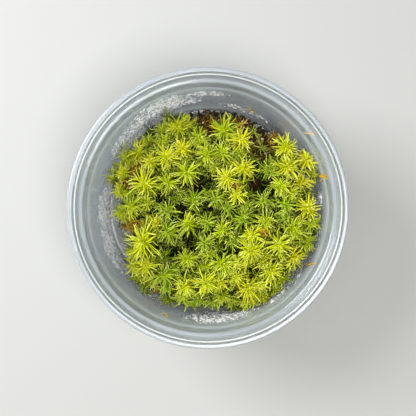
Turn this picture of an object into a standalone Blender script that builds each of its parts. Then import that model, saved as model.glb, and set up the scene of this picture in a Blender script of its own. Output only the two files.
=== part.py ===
"""Moss clump: star-headed moss shoots on a bed of peat, filling a shallow clear-plastic deli tub.

Metres, +Z up. The origin is the middle of the tub's underside, on the plane it stands on.
The tub is one revolved wall. The peat is one lumpy disc. Each moss shoot is one tapered solid
that stands in for a stem with its whorls of narrow leaves, leaning out a little as the shoots
at the edge of a clump do. Each solid is held clear of its neighbours.
"""

import math
import random

import bmesh
import bpy
from mathutils import Vector, noise
from mathutils.bvhtree import BVHTree

MM = 0.001

# Tub (all lengths in mm). The rim is the standard 117 mm of round deli tubs.
RIM_RADIUS = 58.5
TUB_HEIGHT = 48.0
WALL = 0.7
BASE_RADIUS = 46.4
FOOT_RING_RADIUS = 43.0
FLOOR_Z = 1.6
LEDGE_Z = 40.2
SKIRT_HEIGHT = 3.0
RIM_THICKNESS = 1.3
RIM_ROUND = 0.35
GROOVE_DEPTH = 0.7
TUB_SEGMENTS = 56

# Peat and moss (mm).
PEAT_BOTTOM_Z = 2.3
PEAT_TOP_Z = 10.5
PEAT_RADIUS = 38.0
PEAT_BULGE = 5.5  # how much further it reaches on the side that the moss leaves bare
BULGE_BEARING = math.radians(60)
BULGE_SPREAD = math.radians(50)
PEAT_SEGMENTS = 30
CLEARANCE = 0.3
LEAN = 0.8  # a stem's foot stands at this fraction of its head's distance from the axis
STEM_RADIUS = 0.9
HEAD_SIDES = 6
HEAD_FILL = 1.35  # the leaves of a head reach this far past its densest part
CROWN_SIDES = 4
CROWN_SHARE = 0.5
LEAF_GAP = 0.75  # a loose bit's middle line stands this far inside the tub's nominal wall line

# The middle line of the tub's floor and wall, from the axis to the underside of the rim.
WALL_LINE = [
    (0.0, FLOOR_Z),
    (FOOT_RING_RADIUS - 2.0, FLOOR_Z),
    (FOOT_RING_RADIUS, WALL / 2),
    (BASE_RADIUS, WALL / 2),
    (47.8, 1.25),
    (48.55, 3.3),
    (52.2, 31.5),
    (52.8, 32.0),
    (53.3, 39.6),
    (55.0, LEDGE_Z),
    (55.37, 46.4),
]
# The rim's section, from the inside to the outside: ridge, groove, rolled lip and short skirt.
RIM_LINE = [
    (55.02, TUB_HEIGHT - RIM_ROUND),
    (55.25, TUB_HEIGHT),
    (55.6, TUB_HEIGHT),
    (55.95, TUB_HEIGHT - GROOVE_DEPTH),
    (56.35, TUB_HEIGHT - GROOVE_DEPTH),
    (56.75, TUB_HEIGHT),
    (RIM_RADIUS - RIM_ROUND, TUB_HEIGHT),
    (RIM_RADIUS, TUB_HEIGHT - RIM_ROUND),
    (RIM_RADIUS, TUB_HEIGHT - SKIRT_HEIGHT),
    (RIM_RADIUS - WALL, TUB_HEIGHT - SKIRT_HEIGHT),
    (RIM_RADIUS - WALL, TUB_HEIGHT - RIM_THICKNESS),
]

# Moss heads: x, y, radius, height above the tub's underside (mm), and the colour of the head.
SHOOTS = [
    (-13.8, 36.6, 5.8, 27, "yellow"),
    (-19.5, 35.6, 4.8, 24, "lime"),
    (-31.2, 25.1, 5.6, 25, "yellow"),
    (-25.6, 20.4, 4.8, 30, "yellow"),
    (-18.2, 22.4, 5.6, 33, "yellow"),
    (-11.9, 26.4, 4.8, 31, "amber"),
    (-20.6, 29.6, 4.6, 27, "lime"),
    (-1.0, 23.4, 5.6, 30, "lime"),
    (-4.0, 30.9, 4.8, 28, "lime"),
    (-36.6, 16.1, 4.8, 24, "yellow"),
    (-39.6, 7.6, 4.4, 22, "amber"),
    (-27.8, 10.5, 7.2, 34, "yellow"),
    (-18.2, 11.2, 5.6, 30, "lime"),
    (-9.2, 15.2, 5.8, 31, "lime"),
    (-6.0, 3.4, 5.2, 28, "green"),
    (-34.2, 0.6, 5.6, 28, "lime"),
    (7.0, 34.6, 6.8, 28, "lime"),
    (14.6, 30.4, 5.4, 30, "amber"),
    (24.6, 27.4, 4.0, 17, "olive"),
    (6.8, 24.6, 5.4, 29, "lime"),
    (16.2, 17.6, 5.8, 31, "yellow"),
    (27.4, 17.2, 5.2, 28, "green"),
    (34.8, 27.2, 5.6, 30, "yellow"),
    (35.4, 18.4, 5.8, 33, "yellow"),
    (43.0, 21.4, 5.2, 30, "yellow"),
    (42.2, 12.4, 5.2, 28, "yellow"),
    (32.2, 9.8, 5.4, 29, "lime"),
    (8.2, 13.2, 5.6, 31, "yellow"),
    (12.9, 6.4, 4.6, 30, "yellow"),
    (3.6, 4.2, 4.8, 27, "green"),
    (24.4, 3.2, 5.2, 28, "green"),
    (34.4, 1.2, 5.2, 29, "green"),
    (43.6, 0.4, 5.0, 28, "amber"),
    (-28.6, -14.8, 8.4, 35, "yellow"),
    (-27.6, -25.4, 5.4, 28, "yellow"),
    (-17.8, -10.6, 6.2, 31, "green"),
    (-18.4, -1.6, 5.2, 28, "green"),
    (-9.4, -7.4, 5.2, 29, "lime"),
    (-0.7, -6.4, 4.8, 28, "green"),
    (-1.6, -15.6, 5.2, 28, "green"),
    (-9.0, -22.6, 5.2, 28, "lime"),
    (-19.6, -30.0, 6.0, 28, "green"),
    (-10.4, -35.4, 5.6, 28, "yellow"),
    (-0.6, -33.6, 5.8, 30, "yellow"),
    (6.2, -9.6, 5.2, 29, "lime"),
    (15.6, -5.6, 5.2, 28, "green"),
    (25.4, -6.6, 5.4, 29, "lime"),
    (38.6, -9.4, 6.2, 31, "lime"),
    (31.0, -16.6, 6.2, 34, "yellow"),
    (19.0, -18.4, 6.6, 33, "yellow"),
    (38.2, -21.8, 5.6, 29, "amber"),
    (28.4, -28.6, 6.0, 29, "yellow"),
    (6.4, -25.0, 5.6, 28, "lime"),
    (18.2, -36.2, 5.8, 26, "amber"),
    (6.8, -40.4, 4.6, 23, "lime"),
]

# Loose bits stuck by water to the inside of the tub: name, colour, half width, and the bit's
# middle line as (bearing in degrees, radius, height).
LEAF_THICKNESS = 0.3
LOOSE = [
    ("loose_leaf_tan", "tan", 0.3, [(35, 51.9, 35.4), (37, 52.3, 38), (38.5, 53.6, 40.9)]),
    ("loose_leaf_orange", "orange", 0.35, [(13.5, 49.2, 18.4), (15.5, 50.3, 23.6), (16.5, 50.9, 28.6)]),
    ("loose_leaf_rust", "orange", 0.4, [(-30.5, 50.2, 23), (-28.5, 50.7, 26.8), (-27, 51.2, 30.4)]),
]

COLOURS = {
    "tub_plastic": (0.62, 0.66, 0.61),
    "peat": (0.055, 0.033, 0.015),
    "yellow": (0.62, 0.60, 0.02),
    "lime": (0.40, 0.50, 0.02),
    "green": (0.17, 0.27, 0.01),
    "olive": (0.12, 0.16, 0.01),
    "amber": (0.66, 0.50, 0.02),
    "tan": (0.42, 0.26, 0.10),
    "orange": (0.45, 0.16, 0.03),
}


def coloured(name, colour, roughness):
    """A plain material of the sub-part's own colour."""
    made = bpy.data.materials.new(name)
    made.use_nodes = True
    shader = made.node_tree.nodes["Principled BSDF"]
    shader.inputs["Base Color"].default_value = (*COLOURS[colour], 1.0)
    shader.inputs["Roughness"].default_value = roughness
    return made


def add_object(name, mesh_data, colour, roughness, smooth):
    """Links a mesh held in bmesh form as one named object in metres."""
    bmesh.ops.scale(mesh_data, vec=(MM, MM, MM), verts=mesh_data.verts)
    mesh = bpy.data.meshes.new(name)
    mesh_data.to_mesh(mesh)
    mesh_data.free()
    for face in mesh.polygons:
        face.use_smooth = smooth
    made = bpy.data.objects.new(name, mesh)
    bpy.context.scene.collection.objects.link(made)
    mesh.materials.append(coloured(name, colour, roughness))
    return made


def offset_line(line, distance):
    """The line moved sideways to its left by distance, with mitred corners."""
    points = [Vector(p) for p in line]
    moved = []
    for index, point in enumerate(points):
        before = (point - points[index - 1]).normalized() if index else None
        after = (points[index + 1] - point).normalized() if index < len(points) - 1 else None
        before = before or after
        after = after or before
        left = Vector((-(before + after).y, (before + after).x)).normalized()
        reach = distance / max(0.3, left.dot(Vector((-after.y, after.x))))
        moved.append(tuple(point + left * reach))
    return moved


def build_tub():
    """The wall's closed section turned about Z: up the inside, over the rim, down the outside."""
    inside = offset_line(WALL_LINE, WALL / 2)
    outside = offset_line(WALL_LINE, -WALL / 2)
    inside[0] = (0.0, FLOOR_Z + WALL / 2)
    outside[0] = (0.0, FLOOR_Z - WALL / 2)
    outside[2] = (outside[2][0], 0.0)
    outside[3] = (outside[3][0], 0.0)
    outside[-1] = (outside[-1][0], TUB_HEIGHT - RIM_THICKNESS)
    section = inside[:-1] + RIM_LINE + outside[::-1]
    data = bmesh.new()
    corners = [data.verts.new((r, 0.0, z)) for r, z in section]
    for first, second in zip(corners, corners[1:]):
        data.edges.new((first, second))
    tub = add_object("tub", data, "tub_plastic", 0.3, True)
    turn = tub.modifiers.new("turn", "SCREW")
    turn.axis = "Z"
    turn.angle = math.tau
    turn.steps = TUB_SEGMENTS
    turn.render_steps = TUB_SEGMENTS
    turn.use_merge_vertices = True
    turn.merge_threshold = 0.00001
    turn.use_smooth_shade = True


def peat_height(x, y):
    """The peat's surface: soft lumps, a rise at the back right, and a slope down to the wall."""
    lumps = noise.noise(Vector((x * 0.06, y * 0.06, 3.7))) * 3.4
    lumps += noise.noise(Vector((x * 0.17, y * 0.17, 8.1))) * 1.4
    bank = 3.6 * math.exp(-((x - 20) ** 2 + (y - 30) ** 2) / 360)
    bank += 2.6 * math.exp(-((x + 2) ** 2 + (y - 38) ** 2) / 160)
    edge = max(0.0, math.hypot(x, y) - PEAT_RADIUS + 5.0)
    return PEAT_TOP_Z + lumps + bank - 0.045 * edge * edge


def peat_reach(angle):
    """The peat's outline: a wavy circle that bulges towards the side with no moss."""
    off = (angle - BULGE_BEARING + math.pi) % math.tau - math.pi
    wave = noise.noise(Vector((math.cos(angle) * 1.9, math.sin(angle) * 1.9, 1.3)))
    return PEAT_RADIUS + PEAT_BULGE * math.exp(-((off / BULGE_SPREAD) ** 2)) + 1.8 * wave


def build_peat():
    data = bmesh.new()
    shares = [0.22, 0.44, 0.63, 0.8, 0.93, 1.0]
    foot = data.verts.new((0.0, 0.0, PEAT_BOTTOM_Z))
    rings = []
    for share in shares:
        ring = []
        for step in range(PEAT_SEGMENTS):
            angle = math.tau * step / PEAT_SEGMENTS
            reach = share * peat_reach(angle)
            x = reach * math.cos(angle)
            y = reach * math.sin(angle)
            ring.append(data.verts.new((x, y, peat_height(x, y))))
        rings.append(ring)
    low = []
    for top in rings[-1]:
        low.append(data.verts.new((top.co.x * 0.97, top.co.y * 0.97, PEAT_BOTTOM_Z)))
    rings.append(low)
    crown = data.verts.new((0.0, 0.0, peat_height(0.0, 0.0)))
    for step in range(PEAT_SEGMENTS):
        after = (step + 1) % PEAT_SEGMENTS
        data.faces.new((crown, rings[0][step], rings[0][after]))
        data.faces.new((foot, low[after], low[step]))
        for inner, outer in zip(rings, rings[1:]):
            data.faces.new((inner[step], outer[step], outer[after], inner[after]))
    bmesh.ops.triangulate(data, faces=data.faces[:])
    bmesh.ops.recalc_face_normals(data, faces=data.faces[:])
    surface = BVHTree.FromBMesh(data)
    add_object("peat_bed", data, "peat", 0.95, False)
    return surface


def wall_limit(z):
    """The largest radius that stays clear of the tub's inner wall at height z."""
    return 47.2 + (z - 3.3) * (51.2 - 47.6) / (31.5 - 3.3) - CLEARANCE


def head_and_foot(shoot, surface):
    """The middle of a shoot's head, and its stem's foot just clear of the peat below it."""
    x, y, radius, height = shoot[:4]
    head = Vector((x, y, height - 0.35 * radius))
    foot = Vector((x * LEAN, y * LEAN, 0.0))
    under = []
    for step in range(9):
        angle = math.tau * step / 8
        reach = 1.6 * STEM_RADIUS if step else 0.0
        above = Vector((foot.x + math.cos(angle) * reach, foot.y + math.sin(angle) * reach, 60.0))
        under.append(surface.ray_cast(above, Vector((0.0, 0.0, -1.0)))[0].z)
    foot.z = max(under) + CLEARANCE
    return head, foot


def build_shoot(index, shoot, surface):
    """A stem that widens to a domed head, as one convex solid cut back from its neighbours."""
    top = shoot[3]
    radius = shoot[2] * HEAD_FILL
    head, foot = head_and_foot(shoot, surface)
    rng = random.Random(100 + index)
    levels = [
        (0.0, STEM_RADIUS),
        (0.45, 0.55 * radius),
        (0.78, 0.92 * radius),
        (1.0, radius),
    ]
    data = bmesh.new()
    for share, size in levels:
        middle = foot.lerp(head, share)
        for side in range(HEAD_SIDES):
            angle = math.tau * (side + rng.uniform(-0.25, 0.25) + 0.5 * (share > 0.5)) / HEAD_SIDES
            reach = size * rng.uniform(0.9, 1.0)
            place = middle + Vector((math.cos(angle) * reach, math.sin(angle) * reach, 0.0))
            data.verts.new(place)
    for side in range(CROWN_SIDES):
        angle = math.tau * (side + rng.uniform(-0.2, 0.2)) / CROWN_SIDES
        reach = CROWN_SHARE * radius
        data.verts.new((head.x + math.cos(angle) * reach, head.y + math.sin(angle) * reach, top))
    for vert in data.verts:
        limit = wall_limit(vert.co.z)
        out = math.hypot(vert.co.x, vert.co.y)
        if out > limit:
            vert.co.x *= limit / out
            vert.co.y *= limit / out
    hull = bmesh.ops.convex_hull(data, input=data.verts[:])
    loose = [g for g in hull["geom_interior"] if isinstance(g, bmesh.types.BMVert)]
    bmesh.ops.delete(data, geom=loose, context="VERTS")
    for other_index, other in enumerate(SHOOTS):
        if other_index == index:
            continue
        reach = (shoot[2] + other[2]) * HEAD_FILL * 1.1
        if math.hypot(other[0] - shoot[0], other[1] - shoot[1]) > reach:
            continue
        other_head, other_foot = head_and_foot(other, surface)
        share = shoot[2] / (shoot[2] + other[2])
        high = head.lerp(other_head, share)
        low = foot.lerp(other_foot, share)
        across = Vector((other_head.x - head.x, other_head.y - head.y, 0.0)).normalized()
        along = Vector((-across.y, across.x, 0.0))
        normal = (high - low).cross(along).normalized()
        normal = normal if normal.dot(across) > 0 else -normal
        cut = bmesh.ops.bisect_plane(
            data,
            geom=data.verts[:] + data.edges[:] + data.faces[:],
            plane_co=high - normal * (CLEARANCE / 2),
            plane_no=normal,
            clear_outer=True,
        )
        rim = [g for g in cut["geom_cut"] if isinstance(g, bmesh.types.BMEdge)]
        if rim:
            bmesh.ops.edgeloop_fill(data, edges=rim)
    bmesh.ops.remove_doubles(data, verts=data.verts[:], dist=0.02)
    bmesh.ops.triangulate(data, faces=data.faces[:])
    bmesh.ops.recalc_face_normals(data, faces=data.faces[:])
    add_object(f"moss_shoot_{index + 1:02d}", data, shoot[4], 0.6, False)


def build_loose(name, colour, half_width, line):
    """A flat strip along its middle line, standing off the wall by its own gap."""
    data = bmesh.new()
    spots = []
    for bearing, radius, z in line:
        angle = math.radians(bearing)
        spots.append((Vector((math.cos(angle), math.sin(angle), 0.0)), radius - LEAF_GAP, z))
    rings = []
    for step, (out, radius, z) in enumerate(spots):
        side = Vector((-out.y, out.x, 0.0))
        width = half_width * (0.55 if step in (0, len(spots) - 1) else 1.0)
        middle = out * radius + Vector((0.0, 0.0, z))
        inner = middle - out * (LEAF_THICKNESS / 2)
        outer = middle + out * (LEAF_THICKNESS / 2)
        ring = [inner - side * width, inner + side * width, outer + side * width, outer - side * width]
        rings.append([data.verts.new(corner) for corner in ring])
    data.faces.new(rings[0])
    data.faces.new(rings[-1][::-1])
    for first, second in zip(rings, rings[1:]):
        for step in range(4):
            after = (step + 1) % 4
            data.faces.new((first[step], first[after], second[after], second[step]))
    bmesh.ops.recalc_face_normals(data, faces=data.faces[:])
    add_object(name, data, colour, 0.6, False)


for leftover in list(bpy.data.objects):
    bpy.data.objects.remove(leftover)
build_tub()
peat_surface = build_peat()
for number, row in enumerate(SHOOTS):
    build_shoot(number, row, peat_surface)
for row in LOOSE:
    build_loose(*row)
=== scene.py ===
# %% [markdown]
# A clump of moss in a shallow see-through tub. The real object is a handful of damp peat with
# some three hundred moss plants growing out of it, set down in a round food tub with a lid rim.
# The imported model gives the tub, the peat and the plants as plain solids. Here each of
# them gets its real surface: the tub is turned again with fine steps, the peat is roughened and
# littered, and every plant is grown leaf by leaf.

# %% Load the frame
import math
import random

import bpy
import numpy as np
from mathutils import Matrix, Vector, noise
from mathutils.bvhtree import BVHTree


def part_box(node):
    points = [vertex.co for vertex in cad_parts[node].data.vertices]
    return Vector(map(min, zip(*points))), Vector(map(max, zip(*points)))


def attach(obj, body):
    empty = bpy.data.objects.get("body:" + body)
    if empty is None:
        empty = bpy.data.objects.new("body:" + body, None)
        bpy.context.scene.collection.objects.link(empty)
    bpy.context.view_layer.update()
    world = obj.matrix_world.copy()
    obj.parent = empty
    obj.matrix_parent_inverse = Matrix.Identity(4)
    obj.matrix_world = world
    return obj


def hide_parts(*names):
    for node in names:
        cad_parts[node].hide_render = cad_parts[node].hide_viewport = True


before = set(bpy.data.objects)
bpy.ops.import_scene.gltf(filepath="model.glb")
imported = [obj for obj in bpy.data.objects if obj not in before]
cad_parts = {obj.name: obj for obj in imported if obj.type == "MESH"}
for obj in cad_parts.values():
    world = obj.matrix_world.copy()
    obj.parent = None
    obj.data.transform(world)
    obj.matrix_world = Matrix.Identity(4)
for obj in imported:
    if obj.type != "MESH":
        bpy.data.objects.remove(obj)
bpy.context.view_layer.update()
MM = 0.001
TUB_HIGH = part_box("tub")[1]
RIM, TOP = TUB_HIGH.x / MM, TUB_HIGH.z / MM
print(f"tub: rim radius {RIM:.1f} mm, height {TOP:.1f} mm")

# %% [markdown]
# Colours are written as sRGB hex values, the way a paint chart gives them, and one function turns
# them into the linear numbers that shaders use. One more adds a shader node with its settings and
# links in one line, so that a material reads as a list of what it is made of.


# %% Helpers for colours, nodes and pieces
def colour(text, alpha=1.0):
    """An sRGB hex value as linear red, green and blue."""
    parts = [int(text[i : i + 2], 16) / 255 for i in (0, 2, 4)]
    linear = [p / 12.92 if p <= 0.04045 else ((p + 0.055) / 1.055) ** 2.4 for p in parts]
    return (*linear, alpha)


def set_inputs(material, made, inputs):
    """Gives a node's inputs, by name or number, a value, an output, or a node's first output."""
    for key, value in inputs.items():
        if isinstance(value, bpy.types.Node):
            value = next(output for output in value.outputs if output.enabled)
        if isinstance(value, bpy.types.NodeSocket):
            material.node_tree.links.new(value, made.inputs[key])
        else:
            made.inputs[key].default_value = value


def node(material, kind, inputs=None, stops=(), **settings):
    """Adds a node with its settings and inputs. stops are a colour ramp's (place, hex) pairs."""
    made = material.node_tree.nodes.new("ShaderNode" + kind)
    for key, value in settings.items():
        setattr(made, key, value)
    set_inputs(material, made, inputs or {})
    points = made.color_ramp.elements if stops else []
    while len(points) < len(stops):
        points.new(0.5)
    for point, (place, value) in zip(points, stops):
        point.position = place
        point.color = colour(value)
    return made


def new_material(name):
    """An empty material and its Principled shader, already linked to the output."""
    made = bpy.data.materials.new(name)
    made.use_nodes = True
    return made, made.node_tree.nodes["Principled BSDF"]


def deselect():
    if bpy.context.mode != "OBJECT":
        bpy.ops.object.mode_set(mode="OBJECT")
    bpy.ops.object.select_all(action="DESELECT")


def finish_piece(piece, material, stands_for=()):
    """Gives a piece its material, its body and what it stands for."""
    piece.data.materials.clear()
    piece.data.materials.append(material)
    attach(piece, "root")
    if stands_for:
        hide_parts(*stands_for)
    piece.data.calc_loop_triangles()
    print(f"{piece.name}: {len(piece.data.loop_triangles)} triangles")


def smoothstep(low, high, value):
    share = min(1.0, max(0.0, (value - low) / (high - low)))
    return share * share * (3 - 2 * share)


deselect()

# %% [markdown]
# The studio is plain: a pale floor, a big soft key light high on the front right, which is what
# makes the lip of the tub glow there, and a second soft light lower at the back left. The camera
# hangs straight over the middle of the tub, about 300 mm above the rim, and looks down.

# %% Floor, lights and camera
FLOOR_SIZE = 6.0
bpy.ops.mesh.primitive_plane_add(size=FLOOR_SIZE, location=(0, 0, 0))
floor = bpy.context.object
floor.name = "studio_floor"
paper, shader = new_material("matte background paper")
dull = {"Roughness": 0.9, "Specular IOR Level": 0.2}
set_inputs(paper, shader, {"Base Color": colour("A4A4A2"), **dull})
floor.data.materials.append(paper)


def soft_light(name, place, size, watts, tint):
    """A square soft light, its place and size in metres, that points at the middle of the moss."""
    data = bpy.data.lights.new(name, "AREA")
    data.size = size
    data.energy = watts
    data.color = colour(tint)[:3]
    lamp = bpy.data.objects.new(name, data)
    lamp.location = place
    aim = Vector((0.0, 0.0, 0.02)) - Vector(place)
    lamp.rotation_euler = aim.to_track_quat("-Z", "Y").to_euler()
    bpy.context.scene.collection.objects.link(lamp)


soft_light("key", (0.14, -0.18, 0.78), 0.45, 6.6, "FFFFFA")
soft_light("side", (-0.52, 0.28, 0.44), 0.40, 8.6, "FCFDFF")
ROOM_LIGHT = 0.45
world = bpy.data.worlds.new("soft room")
world.use_nodes = True
room = world.node_tree.nodes["Background"].inputs
room["Color"].default_value = colour("E2E4E6")
room["Strength"].default_value = ROOM_LIGHT
bpy.context.scene.world = world
bpy.context.scene.view_settings.view_transform = "Standard"

CAMERA_HEIGHT = 0.348  # metres
HALF_VIEW = 0.2867  # tangent of half the view's angle
camera_data = bpy.data.cameras.new("camera")
camera_data.sensor_width = 36.0
camera_data.lens = camera_data.sensor_width / 2 / HALF_VIEW
camera = bpy.data.objects.new("camera", camera_data)
camera.location = (0.0, 0.0, CAMERA_HEIGHT)
bpy.context.scene.collection.objects.link(camera)
bpy.context.scene.camera = camera
print(f"camera: {CAMERA_HEIGHT * 1000:.0f} mm up, lens {camera_data.lens:.1f} mm")

# %% [markdown]
# The tub is injection-moulded natural polypropylene. Its section is one thin line: a floor that
# is raised a little, a foot ring, a sloping wall, a tiny step, a ledge that the lid's plug sits
# on, an upper wall, a ridge, a groove and a rolled lip. It could be built from cylinders, but a
# turned shape is best made as its maker's lathe would cut the mould: draw half of the section
# once and spin it. Corners of a mould are never sharp, so each one is rounded by its own radius.

# %% Tub: the section
WALL = 0.7
SPIN_STEPS = 192

# Corners of the wall's middle line: radius, height and corner rounding in mm.
WALL_LINE = [
    (0.0, 1.6, 0.0),
    (RIM - 17.5, 1.6, 1.2),
    (RIM - 15.5, 0.36, 0.8),
    (RIM - 9.9, 0.36, 3.4),
    (RIM - 6.3, 31.5, 0.35),
    (RIM - 5.7, 32.0, 0.35),
    (RIM - 5.2, 39.6, 0.8),
    (RIM - 3.5, 40.2, 0.6),
    (RIM - 3.13, TOP - 1.3, 0.0),
]
# Corners of the rim's own section, from the inside over the top to the underside.
RIM_LINE = [
    (RIM - 3.45, TOP - 0.75, 0.0),
    (RIM - 3.4, TOP, 0.28),
    (RIM - 2.8, TOP, 0.2),
    (RIM - 2.5, TOP - 0.75, 0.2),
    (RIM - 2.15, TOP - 0.75, 0.2),
    (RIM - 1.85, TOP, 0.4),
    (RIM, TOP, 0.85),
    (RIM, TOP - 3.0, 0.25),
    (RIM - WALL, TOP - 3.0, 0.25),
    (RIM - WALL, TOP - 1.3, 0.3),
    (RIM - 2.6, TOP - 1.3, 0.0),
]


def rounded(line, steps=4):
    """The line with each corner replaced by an arc of its radius."""
    made = [Vector(line[0][:2])]
    for before, corner, after in zip(line, line[1:], line[2:]):
        here = Vector(corner[:2])
        back = Vector(before[:2]) - here
        ahead = Vector(after[:2]) - here
        turn = back.angle(ahead)
        reach = min(corner[2] / math.tan(turn / 2), 0.48 * back.length, 0.48 * ahead.length)
        if reach < 0.01:
            made.append(here)
            continue
        start = here + back.normalized() * reach
        end = here + ahead.normalized() * reach
        for step in range(steps + 1):
            share = step / steps
            low = start.lerp(here, share)
            made.append(low.lerp(here.lerp(end, share), share))
    made.append(Vector(line[-1][:2]))
    return made


def beside(line, distance):
    """The line moved sideways to its left by a distance."""
    moved = []
    for index, point in enumerate(line):
        before = line[max(0, index - 1)]
        after = line[min(len(line) - 1, index + 1)]
        along = (after - before).normalized()
        moved.append(point + Vector((-along.y, along.x)) * distance)
    return moved


def evened(line, least=0.04, most=2.4):
    """The line without points that nearly coincide, and with its long stretches divided."""
    made = [line[0]]
    for point in line[1:]:
        gap = (point - made[-1]).length
        if gap < least:
            continue
        parts = math.ceil(gap / most)
        start = made[-1]
        made.extend(start.lerp(point, (part + 1) / parts) for part in range(parts))
    return made


middle = rounded(WALL_LINE)
inner = evened(beside(middle, WALL / 2))
outer = evened(beside(middle, -WALL / 2))
inner[0].x = 0.0
outer[0].x = 0.0
section = evened(inner[:-1] + rounded(RIM_LINE) + outer[::-1])
print(f"tub section: {len(section)} points")

# %% [markdown]
# A single point is made by collapsing a plane. Extruding it from corner to corner draws the
# section, and one Spin about the tub's axis turns the line into the wall. The ends on the axis
# close into poles once their doubles are merged.

# %% Tub: draw and spin
deselect()
bpy.ops.mesh.primitive_plane_add(size=0.01, location=(0, 0, 0))
tub = bpy.context.object
tub.name = "tub_wall"
bpy.ops.object.mode_set(mode="EDIT")
bpy.ops.mesh.merge(type="CENTER")
bpy.ops.transform.translate(value=(section[0].x * MM, 0, section[0].y * MM))
for before, after in zip(section, section[1:]):
    step = (after - before) * MM
    bpy.ops.mesh.extrude_vertices_move(TRANSFORM_OT_translate={"value": (step.x, 0, step.y)})
bpy.ops.mesh.select_all(action="SELECT")
bpy.ops.mesh.spin(steps=SPIN_STEPS, angle=math.tau, center=(0, 0, 0), axis=(0, 0, 1))
bpy.ops.mesh.select_all(action="SELECT")
bpy.ops.mesh.remove_doubles(threshold=0.000004)
bpy.ops.mesh.normals_make_consistent(inside=False)
bpy.ops.object.mode_set(mode="OBJECT")
bpy.ops.object.shade_smooth_by_angle(angle=math.radians(50))
print(f"tub wall: {len(tub.data.polygons)} faces")

# %% [markdown]
# The closed tub sweats: water from the peat settles on the cool wall as a grey film with small
# drops in it. It settles in patches, so each patch is listed once, and two things are made from
# the list: a value on the tub's points that whitens the plastic, and later the drops themselves.
# A second value darkens the plastic, strongest at the foot of the wall, where it is partly the
# brown stain that peat water leaves and partly painted shade of the moss, and in the groove of the
# rim, where it is painted shadow. A third whitens the solid ridge beside that groove as a painted
# highlight.

# %% Tub: where the wall is misted
# Bearing of the middle and half width (degrees), height of the middle and half height (mm), and
# how dense.
MIST = [
    (115, 23, 18, 15, 1.0), (138, 17, 11, 15, 0.8), (90, 13, 25, 4, 0.9),
    (70, 18, 8, 5, 0.6), (181, 16, 6, 12, 0.9), (202, 17, 9, 12, 0.8),
    (232, 18, 5, 6, 0.5), (277, 22, 16, 12, 1.0), (309, 11, 15, 10, 1.0),
    (323, 9, 17, 8, 0.9), (5, 5, 20, 5, 0.7), (347, 6, 21, 5, 0.7),
]


def mist_at(bearing, height):
    """How misted the wall is at a bearing in degrees and a height in mm, from 0 to 1."""
    most = 0.0
    for middle_bearing, half_width, middle_height, half_height, dense in MIST:
        turn = (bearing - middle_bearing + 180) % 360 - 180
        away = math.hypot(turn / half_width, (height - middle_height) / half_height)
        most = max(most, dense * (1 - smoothstep(0.45, 1.1, away)))
    return most * smoothstep(0.0, 2.0, height)


STAIN_AND_SHADE_TOP = 15.0  # height in mm where the stain and painted shade at the foot fade out
GROOVE_SHADE = 1.8  # how dark the groove is painted, as shadow
RIDGE_HIGHLIGHT_STRENGTH = 0.3  # how strongly the ridge is whitened, as a painted highlight
FOOT = RIM - 16  # radius in mm where the wall's foot begins
inside = [point for point in inner if point.x > FOOT]
INSIDE_Z = np.array([point.y for point in inside])
INSIDE_RADIUS = np.array([point.x for point in inside])


def plastic_at(x, y, z, faces_up):
    """Mist, stain with painted shade, and painted ridge highlight of the tub at a point in mm."""
    reach, bearing = math.hypot(x, y), math.degrees(math.atan2(y, x))
    if z > TOP - 1.2:
        in_groove = RIM - 2.72 < reach < RIM - 1.95 and z < TOP - 0.4
        on_ridge = RIM - 3.5 < reach < RIM - 2.75 and z > TOP - 0.5
        # The groove is painted dark as shadow and the ridge painted white as a highlight.
        return 0.0, GROOVE_SHADE * in_groove, RIDGE_HIGHLIGHT_STRENGTH * on_ridge
    on_wall = reach > FOOT and abs(reach - np.interp(z, INSIDE_Z, INSIDE_RADIUS)) < 0.1
    if z > STAIN_AND_SHADE_TOP * 2 or not (on_wall or faces_up):
        return 0.0, 0.0, 0.0
    # At the foot of the wall the darkening is partly peat stain and partly painted shade of the moss.
    return mist_at(bearing, z), 1 - smoothstep(1.0, STAIN_AND_SHADE_TOP, z), 0.0


fields = [tub.data.attributes.new(key, "FLOAT", "POINT") for key in ("mist", "stain_and_shade", "ridge_highlight")]
for vert in tub.data.vertices:
    values = plastic_at(*(vert.co / MM), vert.normal.z > 0.5)
    for field, value in zip(fields, values):
        field.data[vert.index].value = value
print(f"mist: {len(MIST)} patches")

# %% [markdown]
# Natural polypropylene, injection moulded: no pigment, so light passes through it, but its
# crystals scatter the light and give it a milky, slightly blue-grey body. It is glossy with a
# soft edge to its highlights. Where it is misted, fine droplets scatter more light, so it turns
# whiter and rougher in small spots.

# %% Tub: material
# Repeats per metre: clouds about 17 mm across in the plastic, misted spots about 1.2 mm.
HAZE_SCALE, SPOT_SCALE = 60.0, 820.0
plastic, shader = new_material("natural polypropylene")
place = node(plastic, "TexCoord").outputs["Object"]
mist = node(plastic, "Attribute", attribute_name="mist").outputs["Fac"]
stain_and_shade = node(plastic, "Attribute", attribute_name="stain_and_shade").outputs["Fac"]
ridge_highlight = node(plastic, "Attribute", attribute_name="ridge_highlight").outputs["Fac"]
haze = node(plastic, "TexNoise", {"Vector": place, "Scale": HAZE_SCALE, "Detail": 3.0})
spots = node(plastic, "TexNoise", {"Vector": place, "Scale": SPOT_SCALE, "Detail": 3.0})
body = node(plastic, "ValToRGB", {"Fac": haze}, [(0.3, "D3DADF"), (0.7, "DDE3E8")])
streaks = node(plastic, "MapRange", {"Value": haze, "To Min": 0.2, "To Max": 0.7})
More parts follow.
